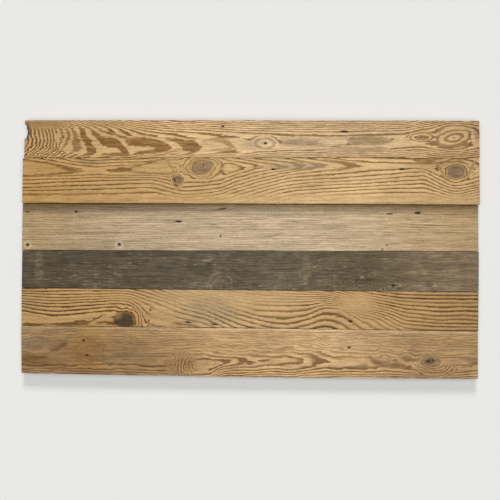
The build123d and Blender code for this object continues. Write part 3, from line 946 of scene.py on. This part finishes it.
FINISHES = {
    "board_1_top": Finish(
        early=srgb(217, 187, 145), late=srgb(138, 101, 58), grey=srgb(88, 84, 76), brown=srgb(128, 92, 58),
        pale=srgb(228, 200, 154), knot=srgb(92, 70, 50), side=srgb(168, 130, 88), fibre=1.0,
    ),
    "board_2_knotty": Finish(
        early=srgb(209, 174, 124), late=srgb(134, 98, 54), grey=srgb(130, 122, 106), brown=srgb(128, 92, 58),
        pale=srgb(220, 192, 150), knot=srgb(130, 107, 86), side=srgb(166, 128, 86), fibre=0.85,
    ),
    "board_3_silvered": Finish(
        early=srgb(200, 175, 140), late=srgb(158, 133, 99), grey=srgb(140, 128, 110),
        brown=srgb(150, 122, 88), pale=srgb(214, 194, 164), knot=srgb(84, 70, 56), side=srgb(140, 122, 98),
        fibre=1.0,
    ),
    "board_4_grey": Finish(
        early=srgb(114, 104, 87), late=srgb(84, 75, 60), grey=srgb(96, 90, 80), brown=srgb(138, 118, 94),
        pale=srgb(160, 145, 120), knot=srgb(48, 43, 37), side=srgb(92, 82, 68), fibre=1.1,
    ),
    "board_5_amber": Finish(
        early=srgb(198, 163, 114), late=srgb(108, 74, 38), grey=srgb(128, 124, 100), brown=srgb(96, 66, 42),
        pale=srgb(208, 176, 130), knot=srgb(66, 52, 46), side=srgb(160, 124, 82), fibre=0.85,
    ),
    "board_6_bottom": Finish(
        early=srgb(197, 162, 117), late=srgb(126, 92, 56), grey=srgb(116, 104, 84), brown=srgb(128, 90, 52),
        pale=srgb(206, 178, 138), knot=srgb(86, 68, 54), side=srgb(158, 124, 84), fibre=0.9,
    ),
}
CRACK = srgb(34, 26, 20)
PINE_EARLY = srgb(214, 180, 132)
PINE_LATE = srgb(176, 132, 82)
ZINC = srgb(206, 188, 130)
WORN_ZINC = srgb(150, 136, 98)

WARM_CHANGE = (0.0, -0.09, -0.26)
RING_WIDTH = 0.0046
PITH_ASIDE = 0.02
PITH_BELOW = 0.03


def face_material(name, finish):
    """Worn old face: rings, fibres, stains, knots and cracks, and the painted shade and highlight that some
    boards carry in their fields.
    """
    paint = Paint(name + "_face")
    fibres = paint.noise((32.0, 330.0, 300.0), 2.0, 0.55)
    specks = paint.noise((135.0, 650.0, 400.0), 2.0, 0.6, (7.0, 3.0, 1.0))
    streaks = paint.noise((10.0, 170.0, 100.0), 2.0, 0.5, (4.0, 9.0, 2.0))
    blotches = paint.noise((9.0, 45.0, 20.0), 3.0, 0.55, (2.0, 5.0, 1.0))
    share = paint.attribute("share")
    part = (paint.attribute("rings") + (fibres - 0.5) * 0.3 + (specks - 0.5) * 0.3).fraction()
    late = paint.ramp(part, 1 - share * 1.25, 1 - share * 0.75) * (1 - paint.ramp(part, 0.92, 1.0))
    figure = paint.attribute("figure")
    dark = (late * figure).highest(paint.attribute("drawn"))
    colour = paint.blend(dark, finish.early, finish.late)
    # The pale and brown blends are mostly real stains; they also carry painted shade under board 2's lower
    # edge and a painted highlight along board 6's upper edge.
    for stain in ("pale", "brown", "grey", "knot"):
        colour = paint.blend(paint.attribute(stain), colour, getattr(finish, stain))
    uneven = (fibres - 0.5) * 0.9 + (specks - 0.5) * 0.9 + (streaks - 0.5) * 0.6 + (blotches - 0.5) * 0.3
    light = 1 + uneven * finish.fibre + (0.5 - part) * figure * 0.3
    # The tone field also carries the painted shade along board 3's top, and the warm field below its brown
    # tint.
    colour = paint.scaled(colour, light * paint.attribute("tone"))
    colour = paint.tinted(colour, paint.attribute("warm"), WARM_CHANGE)
    colour = paint.blend(paint.attribute("crack"), colour, CRACK)
    normal = paint.bump(fibres * 0.6 + specks * 0.4, 0.0006)
    return paint.finish(colour, 0.62 + (1 - late) * 0.14, normal, 0.12)


def side_material(name, finish):
    """Long sides and back: plain sawn wood, darkened with age."""
    paint = Paint(name + "_side")
    lines = paint.noise((6.0, 500.0, 500.0), 3.0, 0.6)
    saw = paint.noise((160.0, 8.0, 30.0), 2.0, 0.5, (3.0, 1.0, 0.0))
    dirt = paint.noise((14.0, 30.0, 30.0), 3.0, 0.55, (1.0, 8.0, 3.0))
    light = 0.72 + (lines - 0.5) * 0.6 + (saw - 0.5) * 0.12 + (dirt - 0.5) * 0.35
    normal = paint.bump(lines * 0.7 + saw * 0.3, 0.0008)
    return paint.finish(paint.scaled(finish.side, light), 0.8 + (lines - 0.5) * 0.15, normal, 0.25)


def end_material(name, finish, pith_y, pith_z):
    """Sawn end, with rings round the pith far below the board."""
    paint = Paint(name + "_end")
    wobble = paint.noise((40.0, 60.0, 60.0), 2.0, 0.5)
    offset = paint.vector_maths("MULTIPLY_ADD", paint.place(), (0.0, 1.0, 1.0), (0.0, -pith_y, -pith_z))
    radius = paint.vector_maths("LENGTH", offset, output="Value")
    part = (radius / RING_WIDTH + wobble * 0.7).fraction()
    late = paint.ramp(part, 0.3, 0.8) * (1 - paint.ramp(part, 0.88, 1.0))
    pores = paint.noise((200.0, 1400.0, 1400.0), 2.0, 0.6, (4.0, 4.0, 4.0))
    saw = paint.noise((50.0, 20.0, 700.0), 2.0, 0.5, (1.0, 1.0, 6.0))
    colour = paint.blend(late * 0.6, finish.side, finish.late)
    colour = paint.scaled(colour, 0.86 + (pores - 0.5) * 0.4 + (saw - 0.5) * 0.2)
    return paint.finish(colour, 0.85, paint.bump(saw * 0.6 + pores * 0.4, 0.0006), 0.2)


def batten_material():
    """Plain new pine, planed."""
    paint = Paint("batten_pine")
    lines = paint.noise((420.0, 5.0, 260.0), 2.0, 0.5)
    wander = paint.noise((30.0, 3.0, 30.0), 2.0, 0.5, (5.0, 1.0, 2.0))
    across = paint.node("ShaderNodeSeparateXYZ", inputs={0: paint.stretched((150.0, 1.5, 60.0))})
    part = (across + wander * 3.0).fraction()
    late = paint.ramp(part, 0.2, 0.85) * (1 - paint.ramp(part, 0.9, 1.0))
    colour = paint.scaled(paint.blend(late, PINE_EARLY, PINE_LATE), 0.95 + (lines - 0.5) * 0.3)
    return paint.finish(colour, 0.6 + (lines - 0.5) * 0.1, paint.bump(lines, 0.0003), 0.3)


def screw_material():
    """Yellow zinc-plated steel."""
    paint = Paint("screw_steel")
    worn = paint.noise((500.0, 500.0, 500.0), 3.0, 0.6)
    paint.shader.inputs["Metallic"].default_value = 1.0
    colour = paint.blend(worn, ZINC, WORN_ZINC)
    return paint.finish(colour, 0.34 + worn * 0.2, paint.bump(worn, 0.00005), 0.5)


# Meshes of the boards

class Outline:
    """A board's outline, read from its CAD node."""

    def __init__(self, name):
        self.low, self.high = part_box(name)
        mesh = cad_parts[name].data
        points = [tuple(v.co) for v in mesh.vertices]
        tree = BVHTree.FromPolygons(points, [tuple(p.vertices) for p in mesh.polygons])
        middle = (self.low.z + self.high.z) / 2
        stations = np.linspace(self.low.x + RAY_START, self.high.x - RAY_START, STATIONS)
        above = [tree.ray_cast((x, self.high.y + RAY_START, middle), (0, -1, 0))[0].y for x in stations]
        below = [tree.ray_cast((x, self.low.y - RAY_START, middle), (0, 1, 0))[0].y for x in stations]
        self.upper = np.poly1d(np.polyfit(stations, above, 2))
        self.lower = np.poly1d(np.polyfit(stations, below, 2))
        self.tree = tree
        self.points = np.array(points)

    def ends(self, shares, height):
        """Places of the left and the right end at these shares of the width, at one height."""
        found = []
        for side, start in ((1, self.low.x), (-1, self.high.x)):
            lower, upper = self.lower(start), self.upper(start)
            levels = np.clip(lower + shares * (upper - lower), lower + CORNER, upper - CORNER)
            before = start - side * RAY_START
            hits = [self.tree.ray_cast((before, y, height), (side, 0, 0))[0].x for y in levels]
            found.append(np.array(hits))
        return found

    def holes(self):
        """Middle and radius of each nail hole in the face."""
        rim = self.points[np.abs(self.points[:, 2] - self.high.z) < SAME_HEIGHT]
        x, y = rim[:, 0], rim[:, 1]
        clear = (x > self.low.x + CLEAR_OF_END) & (x < self.high.x - CLEAR_OF_END)
        clear &= (y < self.upper(x) - CLEAR_OF_EDGE) & (y > self.lower(x) + CLEAR_OF_EDGE)
        return circles(rim[clear][:, :2], NAIL_HOLE_REACH)


def circles(points, reach):
    """Middle and radius of each separate circle of points."""
    left = list(points)
    found = []
    while left:
        group = [p for p in left if np.hypot(*(p - left[0])) < reach]
        left = [p for p in left if np.hypot(*(p - group[0])) >= reach]
        centre = (np.min(group, axis=0) + np.max(group, axis=0)) / 2
        found.append((centre, float(np.mean(np.hypot(*(np.array(group) - centre).T)))))
    return found


def columns(outline, left, right):
    """Places of the columns on each row, which follow the shape of the ends only near them."""
    base = np.linspace(outline.low.x, outline.high.x, COLUMNS)[None]
    at_left = np.clip(1 - (base - outline.low.x) / END_REACH, 0, 1) ** 2
    at_right = np.clip(1 - (outline.high.x - base) / END_REACH, 0, 1) ** 2
    return base + (left[:, None] - outline.low.x) * at_left + (right[:, None] - outline.high.x) * at_right


def around(grid, low, high, left, right):
    """Values on the border of a block of the grid, from its lower left corner and turning left."""
    return np.concatenate([
        grid[low, left:right], grid[low:high, right], grid[high, right:left:-1], grid[high:low:-1, left],
    ])


def face_relief(px, py, fields):
    """How far the worn face lies below the board's full thickness, in metres."""
    late = late_wood(fields["rings"], fields["share"]) * fields["figure"]
    worn = RING_RELIEF * (1 - late)
    worn = worn + SLOW_WEAR * (1 + noise(px, py, 60, 14, 71))
    worn = worn + FINE_WEAR * (1 + noise(px, py, 7, 0.8, 72))
    worn = worn + CRACK_DEPTH * fields["crack"]
    return worn + DECAY_DEPTH * fields["grey"] * steps(fields["grey"], 0.8, 1.0)


FACE, SIDE, END = range(3)


class WornBoard:
    """A board as a dense closed mesh, with its worn face in real relief."""

    def __init__(self, name, grain, seed):
        self.name, self.grain, self.seed = name, grain, seed
        self.outline = Outline(name)
        self.face, self.back = self.outline.high.z, self.outline.low.z
        self.points, self.faces, self.kinds = [], [], []
        self.count = 0
        self.lay_grid()
        holes = [self.cut_hole(centre, radius) for centre, radius in self.outline.holes()]
        self.close_face()
        rim = self.build_walls()
        self.places = np.concatenate(self.points)
        self.back_faces = fill_back(self.places, rim, holes)

    def add(self, x, y, z):
        """Adds points and gives their numbers."""
        x, y, z = np.broadcast_arrays(x, y, z)
        self.points.append(np.stack([x.ravel(), y.ravel(), z.ravel()], axis=1))
        numbers = np.arange(self.count, self.count + x.size).reshape(x.shape)
        self.count += x.size
        return numbers

    def add_face_points(self, x, y):
        """Adds points of the worn face and gives their numbers."""
        to_edge = np.minimum(y - self.outline.lower(x), self.outline.upper(x) - y)
        px, py = photo_places(x, y, self.face)
        fields = self.grain(px.ravel(), py.ravel())
        drop = face_relief(px.ravel(), py.ravel(), fields).reshape(x.shape)
        radius = WORN_ARRIS * (1 + 0.5 * noise(px, 0 * py, 14, 1, self.seed + 4))
        short = np.clip(radius - to_edge, 0, radius)
        drop = drop + radius - np.sqrt(np.maximum(radius**2 - short**2, 0))
        return self.add(x, y, self.face - drop)

    def chips(self, seed):
        """How far splinters have broken off along an edge."""
        px, _ = photo_places(self.x, 0, self.face)
        rough = noise(px, 0 * px, 9, 1, seed) + 0.6 * noise(px, 0 * px, 3, 1, seed + 1)
        return CHIP_DEPTH * np.maximum(0, rough)

    def lay_grid(self):
        """Rows and columns of points on the face."""
        outline = self.outline
        edge_shares = np.array(EDGE_ROWS) / (outline.upper(0) - outline.lower(0))
        inner = np.linspace(edge_shares[-1], 1 - edge_shares[-1], ROWS - 2 * len(EDGE_ROWS) + 2)
        shares = np.concatenate([edge_shares, inner[1:-1], 1 - edge_shares[::-1]])
        self.x = columns(outline, *outline.ends(shares, self.face - END_INSET))
        self.foot_x = columns(outline, *outline.ends(shares, self.back + END_INSET))
        lower = outline.lower(self.x) + self.chips(self.seed)
        upper = outline.upper(self.x) - self.chips(self.seed + 2)
        self.y = lower + shares[:, None] * (upper - lower)
        self.grid = self.add_face_points(self.x, self.y)
        self.kept = np.ones((len(shares) - 1, COLUMNS - 1), bool)

    def ring(self, first, second, kind):
        """Quads between two closed rows of points, which turn left from the first row to the second."""
        quads = np.stack([first, np.roll(first, -1), np.roll(second, -1), second], axis=1)
        self.faces.append(quads)
        self.kinds.append(np.full(len(quads), kind))

    def cut_hole(self, centre, radius):
        """A nail hole in place of the face round it, and its outline on the back."""
        reach = radius + HOLE_LIP + HOLE_MARGIN
        off_x = np.abs(self.x[len(self.x) // 2] - centre[0])
        off_y = np.abs(self.y[:, int(np.argmin(off_x))] - centre[1])
        left, right = np.flatnonzero(off_x < reach)[[0, -1]] + (-1, 1)
        low, high = np.flatnonzero(off_y < reach)[[0, -1]] + (-1, 1)
        self.kept[low:high, left:right] = False
        grids = (self.grid, self.x, self.y)
        loop, loop_x, loop_y = (around(grid, low, high, left, right) for grid in grids)
        angle = np.arctan2(loop_y - centre[1], loop_x - centre[0])
        turn = np.stack([np.cos(angle), np.sin(angle)])
        lip = self.add_face_points(*(centre[:, None] + turn * (radius + HOLE_LIP)))
        wall = centre[:, None] + turn * radius
        rim = self.add(*wall, self.face - RIM_DEPTH)
        foot = self.add(*wall, self.back)
        self.ring(loop, lip, FACE)
        self.ring(lip, rim, FACE)
        self.ring(rim, foot, SIDE)
        return foot

    def close_face(self):
        """Quads between the grid's points, except where holes are cut."""
        grid = self.grid
        quads = np.stack([grid[:-1, :-1], grid[:-1, 1:], grid[1:, 1:], grid[1:, :-1]], axis=-1)[self.kept]
        self.faces.insert(0, quads)
        self.kinds.insert(0, np.full(len(quads), FACE))

    def build_walls(self):
        """Sides and ends from the face's border down, and the outline of the back."""
        grids = (self.grid, self.x, self.y, self.foot_x)
        row, top_x, top_y, foot_x = (around(grid, 0, -1, 0, -1) for grid in grids)
        tops = np.concatenate(self.points)[row, 2]
        up, across = len(self.x) - 1, COLUMNS - 1
        kinds = np.repeat([SIDE, END, SIDE, END], [across, up, across, up])
        for share in WALL_STEPS:
            below = self.add(top_x + (foot_x - top_x) * share, top_y, tops + (self.back - tops) * share)
            self.faces.append(np.stack([row, below, np.roll(below, -1), np.roll(row, -1)], axis=1))
            self.kinds.append(kinds)
            row = below
        return row

    def as_object(self):
        """The collected points and faces as an object with its fields as attributes."""
        quads = np.concatenate(self.faces)
        kinds = np.concatenate(self.kinds + [np.full(len(self.back_faces), SIDE)])
        corners = np.concatenate([quads.ravel(), self.back_faces.ravel()])
        sizes = np.repeat([4, 3], [len(quads), len(self.back_faces)])
        starts = np.concatenate([[0], np.cumsum(sizes)[:-1]])
        mesh = bpy.data.meshes.new(self.name + "_worn")
        mesh.vertices.add(len(self.places))
        mesh.vertices.foreach_set("co", self.places.astype(np.float32).ravel())
        mesh.loops.add(len(corners))
        mesh.loops.foreach_set("vertex_index", corners.astype(np.int32))
        mesh.polygons.add(len(sizes))
        mesh.polygons.foreach_set("loop_start", starts.astype(np.int32))
        mesh.polygons.foreach_set("material_index", kinds.astype(np.int32))
        mesh.polygons.foreach_set("use_smooth", kinds == FACE)
        px, py = photo_places(self.places[:, 0], self.places[:, 1], self.face)
        for field, values in self.grain(px, py).items():
            layer = mesh.attributes.new(field, "FLOAT", "POINT")
            layer.data.foreach_set("value", values.astype(np.float32))
        mesh.update(calc_edges=True)
        mesh.validate()
        return place_in_scene(bpy.data.objects.new(mesh.name, mesh))


def fill_back(points, outline, holes):
    """Triangles of the flat back, between its outline and the nail holes."""
    loops = [outline] + holes
    numbers = np.concatenate(loops)
    edges, start = [], 0
    for loop in loops:
        edges += [(start + k, start + (k + 1) % len(loop)) for k in range(len(loop))]
        start += len(loop)
    flat = [Vector(points[n, :2]) for n in numbers]
    _, _, faces, origins, _, _ = delaunay_2d_cdt(flat, edges, [], 1, 1e-7)
    owner = [int(numbers[sources[0]]) for sources in origins]
    hole_sets = [set(hole.tolist()) for hole in holes]
    found = []
    for face in faces:
        corners = [owner[k] for k in face]
        if any(set(corners) <= hole for hole in hole_sets):
            continue
        a, b, c = (points[k, :2] for k in corners)
        turn = (b[0] - a[0]) * (c[1] - a[1]) - (b[1] - a[1]) * (c[0] - a[0])
        found.append(corners[::-1] if turn > 0 else corners)
    return np.array(found)


def place_in_scene(thing):
    """Links a new object to the scene and gives it back."""
    bpy.context.scene.collection.objects.link(thing)
    return thing


# Screws

SCREW_SIZES = {"Head radius": 0.0035, "Shank radius": 0.00175, "Head height": 0.00175, "Length": 0.020}
SLOT_SIZE = (0.0038, 0.0009, 0.0024)


def screw_tree(material):
    """Geometry Nodes that set a countersunk wood screw with a crossed slot on every point."""
    screw = Tree(bpy.data.node_groups.new("wood_screw", "GeometryNodeTree"))
    interface = screw.tree.interface
    interface.new_socket("Geometry", in_out="INPUT", socket_type="NodeSocketGeometry")
    for size in SCREW_SIZES:
        interface.new_socket(size, in_out="INPUT", socket_type="NodeSocketFloat")
    interface.new_socket("Geometry", in_out="OUTPUT", socket_type="NodeSocketGeometry")
    sizes = (screw.node("NodeGroupInput", output=size) for size in SCREW_SIZES)
    head_radius, shank_radius, head_height, length = sizes
    cone = {"Vertices": 24, "Radius Top": shank_radius, "Radius Bottom": head_radius, "Depth": head_height}
    head = screw.node("GeometryNodeMeshCone", inputs=cone, output="Mesh")
    rod = {"Vertices": 12, "Radius": shank_radius, "Depth": length}
    shank = screw.node("GeometryNodeMeshCylinder", inputs=rod, output="Mesh")
    rise = screw.node("ShaderNodeCombineXYZ", inputs={"Z": length * 0.5})
    shank = screw.node("GeometryNodeTransform", inputs={"Geometry": shank, "Translation": rise})
    slots = []
    for turn in (0.0, math.pi / 2):
        bar = screw.node("GeometryNodeMeshCube", inputs={"Size": SLOT_SIZE}, output="Mesh")
        turned = {"Geometry": bar, "Rotation": (0.0, 0.0, turn)}
        slots.append(screw.node("GeometryNodeTransform", inputs=turned))
    cut = screw.node(
        "GeometryNodeMeshBoolean", {"operation": "DIFFERENCE"}, {"Mesh 1": head, "Mesh 2": slots}, "Mesh"
    )
    whole = screw.node("GeometryNodeJoinGeometry", inputs={0: [cut, shank]})
    holes = screw.node("NodeGroupInput", output="Geometry")
    points = screw.node("GeometryNodeMeshToPoints", inputs={"Mesh": holes})
    placed = screw.node("GeometryNodeInstanceOnPoints", inputs={"Points": points, "Instance": whole})
    solid = screw.node("GeometryNodeRealizeInstances", inputs={"Geometry": placed})
    steel = screw.node("GeometryNodeSetMaterial", inputs={"Geometry": solid, "Material": material})
    screw.feed(screw.tree.nodes.new("NodeGroupOutput").inputs[0], steel)
    return screw.tree


def add_screws(places, height, material):
    """All screws as one mesh, with their heads sunk in the battens' backs."""
    cloud = bpy.data.meshes.new("screw_places")
    cloud.from_pydata([(x, y, height) for x, y in places], [], [])
    screws = place_in_scene(bpy.data.objects.new("screws", cloud))
    modifier = screws.modifiers.new("screws", "NODES")
    modifier.node_group = screw_tree(material)
    for socket in modifier.node_group.interface.items_tree:
        if socket.name in SCREW_SIZES:
            modifier[socket.identifier] = SCREW_SIZES[socket.name]
    evaluated = screws.evaluated_get(bpy.context.evaluated_depsgraph_get())
    mesh = bpy.data.meshes.new_from_object(evaluated)
    screws.modifiers.clear()
    screws.data = mesh
    return screws


# Scene

BOARDS = {
    "board_1_top": (grain_of_board_1, "golden_flat_sawn"),
    "board_2_knotty": (grain_of_board_2, "golden_knotty"),
    "board_3_silvered": (grain_of_board_3, "silvered"),
    "board_4_grey": (grain_of_board_4, "weathered_grey"),
    "board_5_amber": (grain_of_board_5, "amber_ringed"),
    "board_6_bottom": (grain_of_board_6, "brown_to_gold"),
}

for number, (name, (grain, slot_name)) in enumerate(BOARDS.items()):
    board = WornBoard(name, grain, FIRST_SEED + SEED_STEP * number).as_object()
    finish = FINISHES[name]
    low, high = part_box(name)
    board.data.materials.append(face_material(name, finish))
    board.data.materials.append(side_material(name, finish))
    pith_y = (low.y + high.y) / 2 - PITH_ASIDE
    board.data.materials.append(end_material(name, finish, pith_y, low.z - PITH_BELOW))
    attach(board, "root")
    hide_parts(name)

pine = batten_material()
screw_places = []
for name in ("batten_left", "batten_middle", "batten_right"):
    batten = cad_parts[name]
    batten.data.materials.clear()
    batten.data.materials.append(pine)
    low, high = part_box(name)
    corners = np.array([v.co for v in batten.data.vertices])
    from_middle = np.abs(corners[:, 0] - (low.x + high.x) / 2)
    on_back = (np.abs(corners[:, 2] - low.z) < SAME_HEIGHT) & (from_middle < SCREW_HOLE_FROM_MIDDLE)
    screw_places += [centre for centre, _ in circles(corners[on_back][:, :2], SCREW_HOLE_REACH)]

screws = add_screws(screw_places, SCREW_SINK, screw_material())
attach(screws, "root")

bpy.ops.mesh.primitive_plane_add(size=FLOOR_SIZE)
floor = bpy.context.object
floor.name = "floor"
floor_paint = Paint("floor")
floor.data.materials.append(floor_paint.material)
floor_paint.shader.inputs["Base Color"].default_value = srgb(*FLOOR_SRGB)
floor_paint.shader.inputs["Roughness"].default_value = 1.0
floor_paint.shader.inputs["Specular IOR Level"].default_value = 0.0

world = bpy.data.worlds.new("studio")
bpy.context.scene.world = world
world.use_nodes = True
world.node_tree.nodes["Background"].inputs["Color"].default_value = (1.0, 1.0, 1.0, 1.0)
world.node_tree.nodes["Background"].inputs["Strength"].default_value = ALL_ROUND

for lamp_name, energy, angle, lean in (
    ("overhead", OVERHEAD, OVERHEAD_ANGLE, 0.0),
    ("key", KEY, KEY_ANGLE, KEY_ELEVATION - math.pi / 2),
):
    lamp = bpy.data.lights.new(lamp_name, "SUN")
    lamp.energy = energy
    lamp.angle = angle
    place_in_scene(bpy.data.objects.new(lamp_name, lamp)).rotation_euler = (lean, 0.0, 0.0)

camera_data = bpy.data.cameras.new("camera")
camera_data.lens = LENS
camera_data.sensor_width = SENSOR
camera = place_in_scene(bpy.data.objects.new("camera", camera_data))
camera.location = (CAMERA_X, CAMERA_Y, CAMERA_HEIGHT)
bpy.context.scene.camera = camera
bpy.context.scene.view_settings.view_transform = "Standard"
